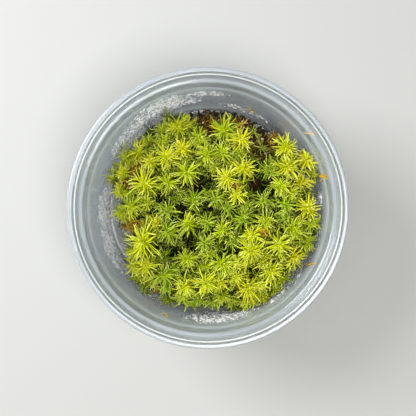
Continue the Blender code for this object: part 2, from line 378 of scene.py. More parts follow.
# Painted shade: the groove and the foot of the wall are darkened towards grey, partly as peat stain at
# the foot.
stain_and_shade_share = node(plastic, "Math", {0: stain_and_shade, 1: streaks}, operation="MULTIPLY")
mixing = {"Factor": stain_and_shade_share, "A": body, "B": colour("7C7C6C")}
stained_and_shaded = node(plastic, "Mix", mixing, data_type="RGBA")
spotted = node(plastic, "MapRange", {"Value": spots, "From Min": 0.47, "From Max": 0.64})
film = node(plastic, "Math", {0: mist, 1: spotted}, operation="MULTIPLY")
# The ridge's painted highlight whitens the plastic the same way as the mist.
film_and_highlight = node(plastic, "Math", {0: film, 1: ridge_highlight}, operation="MAXIMUM")
mixing = {"Factor": film_and_highlight, "A": stained_and_shaded, "B": colour("FAFCFA")}
set_inputs(
    plastic,
    shader,
    {
        "Base Color": node(plastic, "Mix", mixing, data_type="RGBA"),
        "Roughness": node(plastic, "MapRange", {"Value": film, "To Min": 0.16, "To Max": 0.7}),
        "Transmission Weight": node(
            plastic, "MapRange", {"Value": film_and_highlight, "To Min": 0.78, "To Max": 0.1}
        ),
        "IOR": 1.49,
        "Subsurface Weight": 0.5,
        "Subsurface Radius": (1.0, 1.0, 1.0),
        "Subsurface Scale": 0.002,
    },
)
finish_piece(tub, plastic, ["tub"])

# %% [markdown]
# The peat is a damp, crumbly lump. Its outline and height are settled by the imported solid, so a
# copy of that solid is merged into one skin and remeshed into small even faces. Each point then
# moves along its normal by two sizes of noise: clods a few millimetres across, with crumbs of
# about one millimetre on them.

# %% Peat: shape
GRAIN = 0.9  # size in mm of the remeshed faces
graph = bpy.context.evaluated_depsgraph_get()
peat_surface = BVHTree.FromObject(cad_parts["peat_bed"], graph)
PEAT_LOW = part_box("peat_bed")[0].z / MM


def ground(x, y):
    """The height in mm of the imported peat's surface at a place in mm."""
    hit = peat_surface.ray_cast(Vector((x * MM, y * MM, 0.1)), Vector((0, 0, -1)))[0]
    return hit.z / MM if hit else PEAT_LOW


deselect()
peat = bpy.data.objects.new("peat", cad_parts["peat_bed"].data.copy())
bpy.context.scene.collection.objects.link(peat)
bpy.context.view_layer.objects.active = peat
peat.select_set(True)
bpy.ops.object.mode_set(mode="EDIT")
bpy.ops.mesh.select_all(action="SELECT")
bpy.ops.mesh.remove_doubles(threshold=0.00001)
bpy.ops.object.mode_set(mode="OBJECT")
remesh = peat.modifiers.new("even faces", "REMESH")
remesh.mode = "VOXEL"
remesh.voxel_size = GRAIN * MM
bpy.ops.object.modifier_apply(modifier=remesh.name)
moves = []
for vert in peat.data.vertices:
    place = vert.co / MM
    clods = abs(noise.noise(place * 0.3)) * 1.8 - 0.5
    crumbs = noise.noise(place * 1.1) * 0.5
    upper = smoothstep(PEAT_LOW, PEAT_LOW + 2.0, place.z)
    moves.append(vert.normal * (clods + crumbs) * upper * MM)
for vert, move in zip(peat.data.vertices, moves):
    vert.co += move
bpy.ops.object.shade_smooth()
print(f"peat: {len(moves)} points moved")

# %% [markdown]
# Peat is half-rotted plant fibre: nearly black where it is wet, red-brown where it dries, with
# paler crumbs. Two noises at crumb and grain size mix those tones, and a strong bump keeps the
# surface from shining like soil in a pot.

# %% Peat: material
# Repeats per metre: clods about 4 mm across, grains about 1.1 mm.
CLOD_SCALE, GRAIN_SCALE = 260.0, 900.0
peat_material, shader = new_material("damp peat")
place = node(peat_material, "TexCoord").outputs["Object"]
clods = node(peat_material, "TexNoise", {"Vector": place, "Scale": CLOD_SCALE, "Detail": 6.0})
tones = [(0.35, "120C04"), (0.5, "2E1E0A"), (0.62, "523612"), (0.75, "7A5A22")]
specks = node(peat_material, "TexVoronoi", {"Vector": place, "Scale": GRAIN_SCALE})
rough = {"Height": specks, "Strength": 0.8, "Distance": 0.0006}
set_inputs(
    peat_material,
    shader,
    {
        "Base Color": node(peat_material, "ValToRGB", {"Fac": clods}, tones),
        "Normal": node(peat_material, "Bump", rough),
        "Roughness": 0.85,
    },
)
finish_piece(peat, peat_material, ["peat_bed"])

# %% [markdown]
# A moss leaf is a narrow blade a fraction of a millimetre wide, with a keel along its back and a
# drawn-out tip. One leaf is modelled here, one unit long: a three-sided section is extruded along
# its length and resized at each step. It is the pattern that every leaf in the clump is bent
# from, so it has only a few dozen faces.

# %% Leaf: the pattern
# Distance along the leaf and half width there, as a share of the leaf's length and full half width.
LEAF_STATIONS = [(0.0, 1.5), (0.12, 1.4), (0.3, 1.0), (0.62, 0.86), (0.85, 0.64), (0.96, 0.4)]
KEEL = 0.55  # depth of the keel as a share of the half width


def taken_apart(pattern):
    """A modelled pattern's points and faces. The object itself is removed."""
    points = np.array([vert.co for vert in pattern.data.vertices])
    faces = [list(face.vertices) for face in pattern.data.polygons]
    bpy.data.objects.remove(pattern)
    return points, faces


def model_leaf():
    """The pattern leaf along +X, keel down, as points and faces."""
    deselect()
    bpy.ops.mesh.primitive_circle_add(vertices=3, radius=1.0, fill_type="NGON")
    pattern = bpy.context.object
    bpy.ops.object.mode_set(mode="EDIT")
    bpy.ops.transform.rotate(value=math.pi / 2, orient_axis="X", center_override=(0, 0, 0))
    bpy.ops.transform.rotate(value=math.pi / 2, orient_axis="Z", center_override=(0, 0, 0))
    first = LEAF_STATIONS[0][1]
    bpy.ops.transform.resize(value=(1, first, first * KEEL), center_override=(0, 0, 0))
    for before, after in zip(LEAF_STATIONS, LEAF_STATIONS[1:]):
        grow = after[1] / before[1]
        bpy.ops.mesh.extrude_region_move(
            TRANSFORM_OT_translate={"value": (after[0] - before[0], 0, 0)}
        )
        bpy.ops.transform.resize(value=(1, grow, grow), center_override=(0, 0, 0))
    tip = 1.0 - LEAF_STATIONS[-1][0]
    bpy.ops.mesh.extrude_region_move(TRANSFORM_OT_translate={"value": (tip, 0, 0)})
    bpy.ops.mesh.merge(type="CENTER")
    bpy.ops.mesh.select_all(action="SELECT")
    bpy.ops.mesh.normals_make_consistent(inside=False)
    bpy.ops.object.mode_set(mode="OBJECT")
    return taken_apart(pattern)


LEAF_POINTS, LEAF_FACES = model_leaf()
print(f"leaf pattern: {len(LEAF_POINTS)} points, {len(LEAF_FACES)} faces")

# %% [markdown]
# Bending is done for all the leaves of a plant at once. Each leaf grows from its root in its own
# direction, rises at one angle, arches over by another, and may sweep sideways. Walking along it
# in small steps gives its middle line, and the pattern's section is carried along that line.
# Every point also records how far along the leaf it is, the leaf's tone, and how pale its tip is.

# %% Leaf: bending many at once
BEND_STEPS = 16


def unit(vectors):
    return vectors / np.maximum(np.linalg.norm(vectors, axis=-1, keepdims=True), 1e-9)


def bend_leaves(leaves):
    """Points (leaf, point, 3) in mm. leaves is a dict of arrays with one row for each leaf."""
    count = len(leaves["length"])
    axis = unit(leaves["axis"])
    side = unit(np.cross(axis, leaves["out"]))
    out = np.cross(side, axis)
    share = (np.arange(BEND_STEPS) + 0.5) / BEND_STEPS
    angle = leaves["rise"][:, None] - leaves["arch"][:, None] * share**0.8
    angle = angle + leaves["hook"][:, None] * share**4
    turn = leaves["sweep"][:, None] * share + leaves["kink"][:, None] * np.sin(share * 7.0)
    flat = np.cos(angle)[..., None] * (
        np.cos(turn)[..., None] * out[:, None] + np.sin(turn)[..., None] * side[:, None]
    )
    steps = flat + np.sin(angle)[..., None] * axis[:, None]
    walk = np.concatenate([np.zeros((count, 1, 3)), np.cumsum(steps, axis=1)], axis=1)
    walk = walk * (leaves["length"] / BEND_STEPS)[:, None, None]
    place = LEAF_POINTS[:, 0] * BEND_STEPS
    low = np.clip(place.astype(int), 0, BEND_STEPS - 1)
    part = (place - low)[None, :, None]
    middle = walk[:, low] * (1 - part) + walk[:, low + 1] * part
    along = unit(steps[:, low])
    across = unit(np.cross(axis[:, None], along) + 1e-4)
    up = np.cross(along, across)
    spin = leaves["twist"][:, None] * LEAF_POINTS[None, :, 0]
    turned = across * np.cos(spin)[..., None] + up * np.sin(spin)[..., None]
    risen = up * np.cos(spin)[..., None] - across * np.sin(spin)[..., None]
    width = leaves["width"][:, None, None] / 2
    shape = turned * LEAF_POINTS[None, :, 1:2] + risen * LEAF_POINTS[None, :, 2:3]
    return held_inside(leaves["root"][:, None] + middle + shape * width)


# %% [markdown]
# Leaves that meet the tub's wall or floor slide along it instead of passing through. The wall's
# inner radius is read from the tub's own section, a point past it is moved in towards the axis,
# and a point below the floor is lifted onto it.

# %% Leaf: keeping them inside the tub
WALL_GAP = 0.25  # how far in mm a leaf stays off the wall
FLOOR_TOP = WALL_LINE[0][1] + WALL / 2 + 0.1
print(f"leaves stay above {FLOOR_TOP:.2f} mm")


def held_inside(points):
    """The points in mm, with those outside the tub's inner wall or floor moved onto it."""
    points[..., 2] = np.maximum(points[..., 2], FLOOR_TOP)
    limit = np.interp(points[..., 2], INSIDE_Z, INSIDE_RADIUS) - WALL_GAP
    reach = np.linalg.norm(points[..., :2], axis=-1)
    points[..., :2] *= np.minimum(1.0, limit / np.maximum(reach, 0.01))[..., None]
    return points


# %% [markdown]
# A stem is a thin tapered tube from the foot in the peat to the head. All the stems are swept
# with one ring of points, five round, carried up each stem's curve.

# %% Stems: the pattern and the sweep
STEM_SIDES = 5
STEM_RINGS = 8
STEM_FACES = []
for low in range(0, (STEM_RINGS - 1) * STEM_SIDES, STEM_SIDES):
    for a, b in [(side, (side + 1) % STEM_SIDES) for side in range(STEM_SIDES)]:
        STEM_FACES.append([low + a, low + b, low + STEM_SIDES + b, low + STEM_SIDES + a])
STEM_FACES.append(list(range(STEM_SIDES))[::-1])
STEM_FACES.append([(STEM_RINGS - 1) * STEM_SIDES + side for side in range(STEM_SIDES)])
print(f"stem: {len(STEM_FACES)} faces")


def sweep_stem(line, foot_radius=0.45, head_radius=0.25):
    """The points of one stem in mm."""
    turns = np.arange(STEM_SIDES) * math.tau / STEM_SIDES
    points = []
    for ring in range(STEM_RINGS):
        share = ring / (STEM_RINGS - 1)
        middle = np.array(on_stem(line, share))
        radius = foot_radius + (head_radius - foot_radius) * share
        ring_points = np.stack([np.cos(turns), np.sin(turns), np.zeros(STEM_SIDES)], axis=-1)
        points.append(middle + ring_points * radius)
    return np.concatenate(points)


# %% [markdown]
# Joining thousands of copies one object at a time would take minutes. All copies of a pattern
# share its faces, so their points are stacked and the faces are numbered on from copy to copy.
# Each point also keeps the four values that the leaf materials read.

# %% Joining many copies of a pattern
PLAIN = {"along": 0.0, "tone": 0.0, "pale": 0.0, "age_and_shade": 0.0}


def joined(name, groups):
    """One object from groups of (points of each copy, the pattern's faces, values)."""
    points, corners, sizes, values = [], [], [], {key: [] for key in PLAIN}
    used = 0
    for copies, faces, told in groups:
        count, size = copies.shape[:2]
        pattern = np.array([corner for face in faces for corner in face])
        numbers = pattern[None] + (used + np.arange(count) * size)[:, None]
        corners.append(numbers.reshape(-1))
        sizes.append(np.tile([len(face) for face in faces], count))
        points.append(copies.reshape(-1, 3))
        for key, rows in values.items():
            rows.append(np.broadcast_to(told[key], (count, size)).reshape(-1))
        used += count * size
    corners, sizes = np.concatenate(corners), np.concatenate(sizes)
    mesh = bpy.data.meshes.new(name)
    mesh.vertices.add(used)
    mesh.vertices.foreach_set("co", (np.concatenate(points) * MM).astype(np.float32).reshape(-1))
    mesh.loops.add(len(corners))
    mesh.loops.foreach_set("vertex_index", corners.astype(np.int32))
    mesh.polygons.add(len(sizes))
    mesh.polygons.foreach_set("loop_start", (np.cumsum(sizes) - sizes).astype(np.int32))
    mesh.update(calc_edges=True)
    for key, rows in values.items():
        field = mesh.attributes.new(key, "FLOAT", "POINT")
        field.data.foreach_set("value", np.concatenate(rows).astype(np.float32))
    made = bpy.data.objects.new(name, mesh)
    bpy.context.scene.collection.objects.link(made)
    mesh.shade_smooth()
    return made


def leaf_group(rows):
    """The leaves that the rows describe, bent, as a group for joined."""
    leaves = {key: np.array([row[key] for row in rows], float) for key in rows[0]}
    told = {key: leaves[key][:, None] for key in ("tone", "pale", "age_and_shade")}
    told["along"] = LEAF_POINTS[None, :, 0]
    return bend_leaves(leaves), LEAF_FACES, told


# %% [markdown]
# The moss plants: x, y, how far the leaves spread and the height of the head, all in mm, and
# its tone from 0, deep green, to 1, golden yellow. The first list has the plants that the imported
# model has as solids, in the same order, so each of them is replaced one for one. The second list
# has the smaller plants that fill the spaces between.

# %% Plants: where they stand
AMBER, YELLOW, LIME, GREEN, OLIVE = 1.0, 0.86, 0.62, 0.34, 0.12
SHOOTS = [
    (-13.8, 36.6, 5.8, 27, YELLOW), (-19.5, 35.6, 4.8, 24, LIME), (-31.2, 25.1, 5.6, 25, YELLOW),
    (-25.6, 20.4, 4.8, 30, YELLOW), (-18.2, 22.4, 5.6, 33, YELLOW), (-11.9, 26.4, 4.8, 31, AMBER),
    (-20.6, 29.6, 4.6, 27, LIME), (-1.0, 23.4, 5.6, 30, LIME), (-4.0, 30.9, 4.8, 28, LIME),
    (-38.6, 16.4, 3.9, 26, YELLOW), (-40.2, 8.0, 3.9, 26, YELLOW), (-27.8, 10.9, 6.2, 34, YELLOW),
    (-18.2, 11.2, 5.6, 30, LIME), (-9.2, 15.2, 5.8, 31, LIME), (-6.0, 3.4, 5.2, 28, GREEN),
    (-34.2, 0.6, 5.6, 28, LIME), (7.0, 34.6, 6.8, 28, LIME), (14.6, 30.4, 5.4, 30, AMBER),
    (24.6, 27.6, 4.0, 19, OLIVE), (6.8, 24.6, 5.4, 29, LIME), (16.2, 17.6, 5.8, 31, YELLOW),
    (27.4, 17.2, 5.2, 28, GREEN), (34.8, 27.2, 5.6, 30, YELLOW), (35.4, 18.4, 5.8, 33, YELLOW),
    (43.6, 21.4, 5.2, 30, AMBER), (42.2, 12.4, 5.2, 28, AMBER), (32.2, 9.8, 5.4, 29, LIME),
    (8.2, 13.2, 5.6, 31, YELLOW), (12.9, 6.4, 4.6, 30, YELLOW), (3.6, 4.2, 4.8, 27, GREEN),
    (24.4, 3.2, 5.2, 28, GREEN), (34.4, 1.2, 5.2, 29, GREEN), (44.4, 0.2, 5.2, 29, AMBER),
    (-28.6, -14.8, 8.4, 35, YELLOW), (-27.6, -25.4, 5.4, 28, YELLOW), (-17.8, -10.6, 6.2, 31, GREEN),
    (-18.4, -1.6, 5.2, 28, GREEN), (-9.4, -7.4, 5.2, 29, LIME), (-0.7, -6.4, 4.8, 28, GREEN),
    (-1.6, -15.6, 5.2, 28, GREEN), (-9.0, -22.6, 5.2, 28, LIME), (-19.6, -30.0, 6.0, 28, GREEN),
    (-10.4, -35.4, 5.6, 28, YELLOW), (-0.6, -33.6, 5.8, 30, YELLOW), (6.2, -9.6, 5.2, 29, LIME),
    (15.6, -5.6, 5.2, 28, GREEN), (25.4, -6.6, 5.4, 29, LIME), (38.6, -9.4, 6.2, 31, LIME),
    (31.0, -16.6, 6.2, 34, YELLOW), (19.0, -18.4, 6.6, 33, YELLOW), (38.2, -21.8, 5.6, 29, AMBER),
    (28.4, -28.6, 6.0, 29, YELLOW), (6.4, -25.0, 5.6, 28, LIME), (18.2, -36.2, 5.8, 26, AMBER),
    (6.8, -40.4, 4.6, 23, LIME),
]
FILLERS = [
    (-9.4, 37.4, 4.2, 23, LIME), (-27.0, 30.0, 4.2, 22, LIME), (-19.0, 16.6, 4.2, 25, GREEN),
    (-11.0, 20.6, 4.2, 27, LIME), (-27.4, 2.6, 4.6, 26, LIME), (-12.4, 6.6, 4.2, 25, GREEN),
    (-5.6, 20.0, 4.0, 25, GREEN), (13.2, 23.8, 4.6, 27, GREEN), (21.2, 34.8, 3.2, 17, OLIVE),
    (20.2, 22.4, 3.4, 19, OLIVE), (2.6, 18.4, 4.2, 26, LIME), (37.4, 7.0, 4.6, 27, YELLOW),
    (8.6, 0.0, 4.4, 25, GREEN), (17.2, 1.4, 4.2, 26, GREEN), (34.6, -5.2, 4.6, 28, GREEN),
    (46.2, -6.6, 4.8, 27, LIME), (27.2, -11.4, 4.2, 26, AMBER), (10.8, -14.6, 4.8, 26, GREEN),
    (19.4, -12.0, 5.0, 32, YELLOW), (44.4, -15.2, 5.0, 27, LIME), (33.6, -31.6, 4.6, 23, LIME),
    (23.6, -34.8, 4.4, 25, YELLOW), (24.4, -41.0, 4.4, 21, YELLOW), (18.2, -42.6, 4.6, 20, YELLOW),
    (11.8, -42.4, 4.2, 19, LIME), (30.6, -37.0, 4.2, 20, LIME), (12.6, -31.0, 4.8, 26, YELLOW),
    (5.0, -33.0, 4.6, 27, YELLOW), (1.2, -20.6, 4.4, 25, LIME), (-1.0, -27.0, 4.4, 25, LIME),
    (-4.0, -41.2, 4.2, 21, GREEN), (1.6, -42.8, 4.4, 20, GREEN), (-8.4, -43.2, 4.0, 18, GREEN),
    (-11.6, -40.4, 4.2, 21, LIME), (-19.4, -37.0, 4.0, 22, GREEN), (-14.4, -27.6, 4.2, 25, GREEN),
    (-21.0, -22.4, 4.2, 25, GREEN), (-23.8, -6.4, 4.2, 27, AMBER), (-12.6, -15.8, 3.6, 20, OLIVE),
    (-39.2, -2.6, 4.2, 24, LIME), (-33.6, -19.6, 4.2, 23, LIME), (-33.8, -25.6, 4.6, 22, YELLOW),
    (-30.8, -29.6, 4.4, 21, LIME), (-25.8, -32.6, 4.4, 22, LIME), (-37.2, 21.8, 4.2, 22, LIME),
    (13.2, -24.2, 4.4, 27, YELLOW), (24.8, -24.0, 4.6, 28, YELLOW),
]
print(f"plants placed by hand: {len(SHOOTS)} and {len(FILLERS)}")

# %% [markdown]
# Below and between the heads stand many smaller plants, too many to place by hand. A jittered
# grid offers places for them, and a place is taken when a listed plant is near but not on top
# of it, so the undergrowth follows the clump's outline. The hollows, where the clump is open down
# to the peat, are listed and kept free. The deeper and greener a small plant is, the less light
# it gets, so each one also has a shade: painted shade that is added to its leaves' age and darkens
# them.

# %% Plants: the undergrowth
# Middle of each hollow and its half width and half depth, in mm.
HOLLOWS = [
    (22.0, 12.0, 3.2, 3.6), (-14.0, -18.5, 5.6, 4.0), (-2.0, 9.5, 3.2, 2.6), (16.0, -16.0, 1.6, 1.6),
    (37.9, 3.8, 1.8, 1.8), (-33.0, -8.2, 4.6, 2.8), (26.0, -11.0, 2.2, 1.8), (-2.0, 38.5, 6.0, 4.0),
    (26.0, 27.6, 8.4, 7.6), (-33.4, 18.0, 2.2, 4.2), (-36.4, 11.4, 2.0, 2.4), (-22.0, -37.5, 2.6, 1.8),
    (22.8, -39.0, 1.4, 1.4), (15.0, 38.5, 6.0, 3.5),
]
GRID = 4.6  # spacing in mm
NEAREST, FARTHEST, SECOND = 2.4, 5.6, 7.5  # allowed distances in mm to the two nearest plants
STEM_GAP = 1.6  # how far in mm a small plant's stem stays from the wall
DEEP_SHADE = 0.7  # how much the deepest small plants are darkened


def in_hollow(x, y):
    return any(((x - cx) / rx) ** 2 + ((y - cy) / ry) ** 2 < 1 for cx, cy, rx, ry in HOLLOWS)


def undergrowth():
    """Small plants on a jittered grid between the listed ones, clear of the tub's wall."""
    rng = random.Random(41)
    listed = SHOOTS + FILLERS
    made = []
    steps = int(100 / GRID)
    for row in range(-steps // 2, steps // 2 + 1):
        for column in range(-steps // 2, steps // 2 + 1):
            x = (column + 0.5 * (row % 2) + rng.uniform(-0.4, 0.4)) * GRID
            y = (row * 0.87 + rng.uniform(-0.4, 0.4)) * GRID
            near = sorted(listed, key=lambda plant: math.hypot(plant[0] - x, plant[1] - y))[:3]
            gap, second = (math.hypot(plant[0] - x, plant[1] - y) for plant in near[:2])
            depth = rng.uniform(0.0, 1.0)
            height = sum(plant[3] for plant in near) / 3 - 1.0 - 5.0 * depth
            tone = sum(plant[4] for plant in near) / 3 * rng.uniform(0.7, 1.0)
            spread = rng.uniform(3.8, 4.8)
            wall = np.interp(height, INSIDE_Z, INSIDE_RADIUS) - STEM_GAP
            clear = math.hypot(x, y) < wall and not in_hollow(x, y)
            # Painted shade: this shade is added to the leaves' age and darkens their colour.
            shade = DEEP_SHADE * (1.3 - tone) * (depth + 0.4)
            if NEAREST < gap < FARTHEST and second < SECOND and clear:
                made.append((x, y, spread, height, tone, shade))
    return made


UNDERGROWTH = undergrowth()
print(f"undergrowth: {len(UNDERGROWTH)} small plants")

# %% [markdown]
# A plant is grown from its foot in the peat to its head. Its stem starts upright and leans out
# near the edge of the clump, where nothing holds it up. Leaves come in whorls turned by the
# golden angle, as on the real plant: short upright ones in the bud, long arching ones that make
# the star, and shorter, duller ones down the stem. The few thin olive plants in the open hollow
# have sparse rows of their own, and so have the small ones of the undergrowth. Every random draw
# comes from the plant's own seed, so the clump is the same each time.

# %% Plants: growing one
GOLDEN = math.radians(137.5)
FOOT_SHARE = 0.8  # a foot's distance from the middle, as a share of its head's
EDGE_LEAN = math.radians(46)  # how far the outermost heads lean out
SPREAD = 1.3  # the longest leaves reach this far past a head's listed spread
# Leaf rows from the top down: how many, drop below the head (mm), length as shares of the head's
# spread, lowest and highest rise (degrees), arch (degrees), age, which darkens the lower rows as
# old leaves and as painted shade.
ROWS = [
    (18, (0.0, 0.8), (0.26, 0.6), (35, 86), (0, 50), (0.0, 0.05)),
    (32, (0.3, 1.8), (0.55, 1.15), (5, 66), (-10, 65), (0.0, 0.1)),
    (26, (1.5, 4.5), (0.6, 1.12), (-5, 50), (-15, 60), (0.1, 0.35)),
    (16, (4.0, 9.0), (0.6, 1.0), (-5, 45), (-20, 50), (0.5, 1.0)),
    (8, (9.0, 17.0), (0.4, 0.8), (0, 50), (0, 60), (0.9, 1.1)),
]
STAR_ROWS = [
    (5, (0.0, 0.4), (0.3, 0.5), (30, 80), (0, 50), (0.0, 0.1)),
    (12, (0.2, 1.4), (0.8, 1.2), (5, 40), (0, 40), (0.0, 0.15)),
    (5, (2.0, 5.0), (0.5, 0.9), (0, 40), (0, 50), (0.7, 1.0)),
]
SMALL_ROWS = [
    (9, (0.0, 0.8), (0.26, 0.5), (35, 86), (0, 50), (0.0, 0.15)),
    (15, (0.3, 2.5), (0.7, 1.2), (0, 60), (-20, 60), (0.0, 0.35)),
    (10, (2.0, 6.0), (0.7, 1.1), (-5, 55), (-20, 60), (0.7, 1.0)),
]


def stem_line(x, y, height, rng):
    """Foot, knee and head of a stem in mm."""
    reach = math.hypot(x, y)
    lean = EDGE_LEAN * smoothstep(24, 46, reach)
    way = math.atan2(y, x) + rng.uniform(-0.35, 0.35)
    face = Vector((math.cos(way) * math.sin(lean), math.sin(way) * math.sin(lean), math.cos(lean)))
    face += Vector((rng.gauss(0, 0.28), rng.gauss(0, 0.28), 0.0))
    foot = Vector((x * FOOT_SHARE, y * FOOT_SHARE, 0.0))
    foot.z = ground(foot.x, foot.y) - 0.8
    head = Vector((x, y, height - 1.5))
    knee = head - face.normalized() * (head.z - foot.z) * 0.45
    return foot, knee, head


def on_stem(line, share):
    foot, knee, head = line
    return foot.lerp(knee, share).lerp(knee.lerp(head, share), share)


def one_leaf(line, down, turn, plant, row, rng):
    """One leaf of a row, at a drop below the head and a turn round the stem."""
    length, rise, arch, age_and_shade = row
    spread, tone = plant[2], plant[4]
    curl = 2.2 - tone * 0.9
    shade = plant[5] if len(plant) > 5 else 0.0
    share = 1 - down
    root = on_stem(line, share)
    axis = (on_stem(line, min(1.0, share + 0.05)) - on_stem(line, share - 0.05)).normalized()
    flat = Vector((math.cos(turn), math.sin(turn), 0.0))
    out = (flat - axis * flat.dot(axis)).normalized()
    return {
        "root": root + out * 0.22,
        "axis": axis,
        "out": out,
        "rise": math.radians(rng.uniform(*rise)),
        "arch": math.radians(rng.uniform(*arch)),
        "hook": math.radians(rng.choice([0, 20, -40, 60])) * curl,
        "sweep": rng.gauss(0, 0.45) * curl,
        "kink": rng.gauss(0, 0.16) * curl,
        "twist": rng.gauss(0, 1.2),
        "length": spread * SPREAD * rng.uniform(*length),
        "width": rng.uniform(0.56, 0.86) * (0.84 + 0.36 * tone),
        "tone": min(1.0, max(0.0, tone + rng.gauss(0, 0.09))),
        "pale": rng.random() ** 1.2,
        # Age and painted shade together darken the leaf.
        "age_and_shade": min(1.1, rng.uniform(*age_and_shade) + shade),
    }


def grow(plants, seeds, leaf_rows):
    """Leaves and stems of one or more plants, as groups for joined."""
    rows, stems = [], []
    for plant, seed in zip(plants, seeds):
        rng = random.Random(seed)
        line = stem_line(plant[0], plant[1], plant[3], rng)
        stems.append(sweep_stem(line))
        stem_length = (line[2] - line[0]).length
        turn = rng.uniform(0, math.tau)
        for count, drop, *row in STAR_ROWS if plant[4] == OLIVE else leaf_rows:
            for _ in range(count):
                down = rng.uniform(*drop) / stem_length
                turn += GOLDEN + rng.uniform(-0.3, 0.3)
                if down < 0.92:
                    rows.append(one_leaf(line, down, turn, plant, row, rng))
    rising = np.repeat(np.linspace(1.0, 0.0, STEM_RINGS), STEM_SIDES)
    told = {**PLAIN, "tone": 0.4, "age_and_shade": 0.6 + 0.6 * rising[None]}
    return [leaf_group(rows), (np.array(stems), STEM_FACES, told)]


# %% [markdown]
# Fresh moss leaf, one cell thick: it is bright because light goes in one side and out of the
# other, so the shader lets light scatter under its surface. The green-to-yellow tone comes from
# the plant. The tip is painted pale straw, partly a dried tip and partly a painted highlight. Old
# leaves down the stem and deep, shaded leaves go dark and then brown: partly age, partly painted
# shade.

# %% Leaf: material
leaf_material, shader = new_material("living moss leaf")
tone = node(leaf_material, "Attribute", attribute_name="tone").outputs["Fac"]
along = node(leaf_material, "Attribute", attribute_name="along").outputs["Fac"]
pale = node(leaf_material, "Attribute", attribute_name="pale").outputs["Fac"]
age_and_shade = node(leaf_material, "Attribute", attribute_name="age_and_shade").outputs["Fac"]
tones = [(0.0, "8A9438"), (0.16, "A4AE48"), (0.24, "809A00"), (0.36, "86A400")]
tones += [(0.62, "A4B600"), (0.86, "BEC80A"), (1.0, "C2BE06")]
fresh = node(leaf_material, "ValToRGB", {"Fac": tone}, tones)
tones = [(0.0, "161E00"), (0.5, "283800"), (1.0, "4A5000")]
old_and_shaded = node(leaf_material, "ValToRGB", {"Fac": tone}, tones)
# Age and painted shade darken the leaf towards the old tones.
wither_and_shade = node(leaf_material, "MapRange", {"Value": age_and_shade, "From Min": 0.1, "From Max": 0.9})
mixing = {"Factor": wither_and_shade, "A": fresh, "B": old_and_shaded}
living = node(leaf_material, "Mix", mixing, data_type="RGBA")
# The tips are painted pale straw, partly as dried tips and partly as a painted highlight.
tip_share = node(leaf_material, "MapRange", {"Value": along, "From Min": 0.45, "From Max": 0.95})
tip = node(leaf_material, "Math", {0: tip_share, 1: pale}, operation="MULTIPLY")
young_and_lit = node(leaf_material, "Math", {0: 1.0, 1: age_and_shade}, operation="SUBTRACT")
pale_tip_and_highlight = node(leaf_material, "Math", {0: tip, 1: young_and_lit}, operation="MULTIPLY")
mixing = {"Factor": pale_tip_and_highlight, "A": living, "B": colour("E6E87C")}
set_inputs(
    leaf_material,
    shader,
    {
        "Base Color": node(leaf_material, "Mix", mixing, data_type="RGBA"),
        "Roughness": 0.6,
        "Specular IOR Level": 0.15,
        "Subsurface Weight": 0.3,
        "Subsurface Radius": (0.8, 1.0, 0.15),
        "Subsurface Scale": 0.0008,
    },
)
print(f"leaf material: {len(leaf_material.node_tree.nodes)} nodes")

# %% [markdown]
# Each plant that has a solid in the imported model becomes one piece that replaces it. The others
# are joined into pieces for the quarters of the clump.

# %% Plants: grow them all
for number, plant in enumerate(SHOOTS, start=1):
    cad_node = f"moss_shoot_{number:02d}"
    piece = joined(f"shoot_{number:02d}", grow([plant], [99 + number], ROWS))
    finish_piece(piece, leaf_material, [cad_node])


def quarter_of(plant):
    return int(math.atan2(plant[1], plant[0]) // (math.pi / 2)) % 4 + 1


for name, plants, leaf_rows in (("filler", FILLERS, ROWS), ("under", UNDERGROWTH, SMALL_ROWS)):
    for quarter in (1, 2, 3, 4):
        chosen = [plant for plant in plants if quarter_of(plant) == quarter]
        seeds = [900 + 200 * quarter + step for step in range(len(chosen))]
        piece = joined(f"{name}_shoots_{quarter}", grow(chosen, seeds, leaf_rows))
        finish_piece(piece, leaf_material)

# %% [markdown]
# Dead leaves and fibres lie on the peat wherever the moss leaves it open, and along the edge of
# the clump. They are the same narrow leaves, dried: flat, curled and brown or orange. The same
# pattern is bent and laid on the ground, thickest in the hollows.

# %% Litter: dead leaves
# Where litter lies: x, y, half width and half depth in mm, how high up it hangs between the
# stems in mm, how many, and their colour from 0, dark brown, to 1, straw.
LITTER = [
    (-2.0, 38.0, 8.0, 4.0, 2.6, 130, 0.4), (9.0, 39.5, 9.0, 3.0, 2.6, 60, 0.55),
    (25.5, 27.5, 8.0, 7.0, 2.6, 200, 0.35), (31.5, 31.0, 3.5, 2.6, 8.0, 70, 0.75),
    (-33.4, 18.0, 2.6, 4.8, 17.0, 170, 0.8), (-36.4, 11.0, 2.4, 3.4, 16.0, 110, 0.8),
    (-34.6, -7.6, 4.6, 3.0, 14.0, 150, 0.72), (-30.4, -9.0, 3.0, 2.4, 10.0, 60, 0.2),
    (15.6, 38.4, 1.6, 1.2, 6.0, 16, 0.9), (31.8, 32.6, 2.2, 1.2, 8.0, 24, 0.85),
    (22.0, 12.0, 3.4, 3.0, 3.0, 16, 0.05), (-15.0, -18.5, 4.0, 3.4, 3.0, 16, 0.05),
    (-2.0, 9.5, 3.0, 2.0, 6.0, 16, 0.15), (12.0, 9.0, 3.0, 2.6, 18.0, 50, 0.5),
    (26.0, -11.0, 3.0, 2.4, 18.0, 80, 0.6), (-22.0, -37.0, 3.6, 2.4, 8.0, 80, 0.6),
    (22.8, -39.0, 2.2, 1.8, 12.0, 50, 0.5), (37.9, 3.8, 2.0, 2.0, 12.0, 20, 0.3),
    (44.0, -1.0, 2.4, 2.4, 14.0, 30, 0.7),
]


